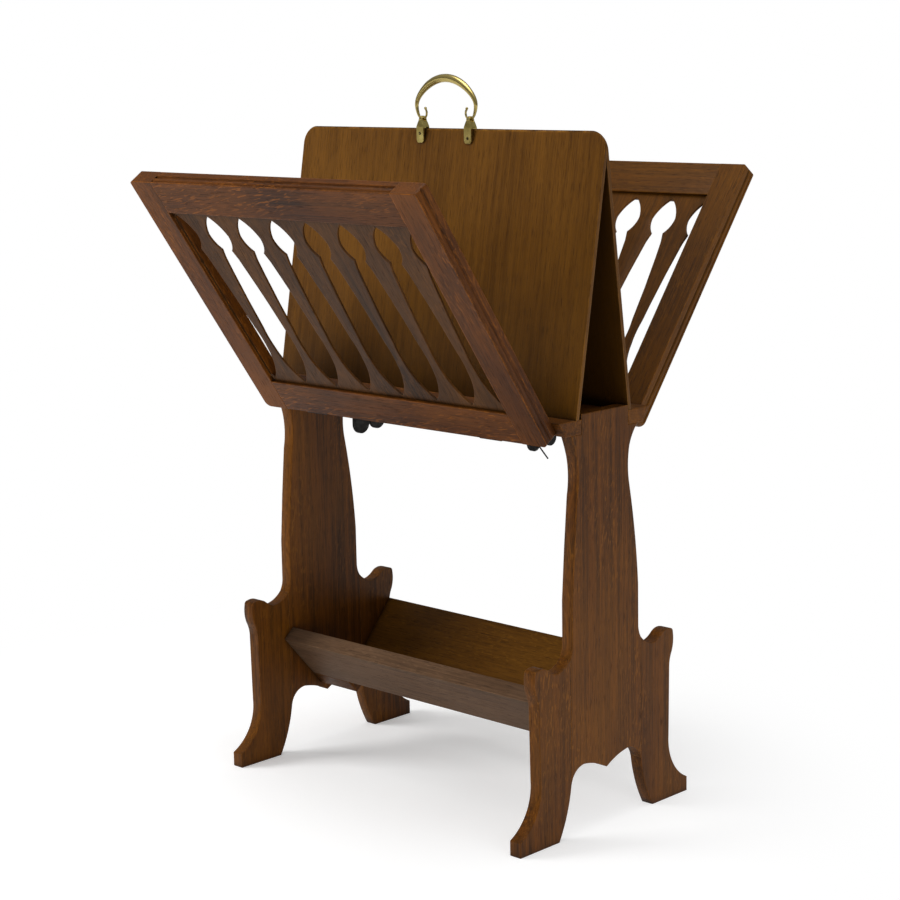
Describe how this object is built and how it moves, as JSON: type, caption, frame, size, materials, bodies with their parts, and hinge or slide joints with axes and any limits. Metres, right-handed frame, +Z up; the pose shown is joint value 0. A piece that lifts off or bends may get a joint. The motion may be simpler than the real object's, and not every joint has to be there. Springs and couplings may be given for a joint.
{
  "type": "folding book stand",
  "caption": "Oak book stand with shaped plank ends, a V trough, a tall hollow divider on a shelf, hinged fretted wings that fold up beside it and a brass bail handle.",
  "frame": {"origin": "on the floor, midway between the ends and midway between the wings' top edges", "axes": "+X along the stand towards the right end, +Y from front to back, +Z up"},
  "size_m": [0.55, 0.6492, 0.9665],
  "materials": {
    "oak": "satin",
    "weathered_oak": "satin",
    "brass": "satin",
    "iron": "satin"
  },
  "bodies": {
    "stand": {"left_end_plank": "oak", "left_front_leg": "oak", "left_rear_leg": "oak", "right_end_plank": "oak", "right_front_leg": "oak", "right_rear_leg": "oak", "trough_front_board": "weathered_oak", "trough_rear_board": "oak", "left_trough_cleat": "oak", "right_trough_cleat": "oak", "shelf_board": "oak", "divider_front_board": "oak", "divider_rear_board": "oak", "divider_ridge_batten": "oak", "left_handle_lug": "brass", "right_handle_lug": "brass", "front_left_hinge_shelf_leaf": "brass", "front_left_hinge_pin": "brass", "front_right_hinge_shelf_leaf": "brass", "front_right_hinge_pin": "brass", "rear_left_hinge_shelf_leaf": "brass", "rear_left_hinge_pin": "brass", "rear_right_hinge_shelf_leaf": "brass", "rear_right_hinge_pin": "brass"},
    "front_wing": {"front_wing_left_stile": "oak", "front_wing_right_stile": "oak", "front_wing_top_rail": "oak", "front_wing_bottom_rail": "oak", "front_wing_fret_panel": "oak", "front_left_hinge_wing_leaf": "brass", "front_right_hinge_wing_leaf": "brass", "front_left_stay_arm": "iron", "front_right_stay_arm": "iron", "stay_catch_wire": "iron"},
    "rear_wing": {"rear_wing_left_stile": "oak", "rear_wing_right_stile": "oak", "rear_wing_top_rail": "oak", "rear_wing_bottom_rail": "oak", "rear_wing_fret_panel": "oak", "rear_left_hinge_wing_leaf": "brass", "rear_right_hinge_wing_leaf": "brass", "rear_left_stay_arm": "iron", "rear_right_stay_arm": "iron"},
    "handle": {"bail_handle": "brass"}
  },
  "joints": [
    {"name": "front_wing_fold", "type": "hinge", "parent": "stand", "child": "front_wing", "pos_m": [0, -0.09348, 0.5447], "axis": [-1, 0, 0], "range_deg": [0, 46]},
    {"name": "rear_wing_fold", "type": "hinge", "parent": "stand", "child": "rear_wing", "pos_m": [0, 0.07999, 0.5447], "axis": [1, 0, 0], "range_deg": [0, 47]},
    {"name": "handle_swing", "type": "hinge", "parent": "stand", "child": "handle", "pos_m": [0, -0.0003, 0.907], "axis": [1, 0, 0], "range_deg": [-55, 55]}
  ]
}
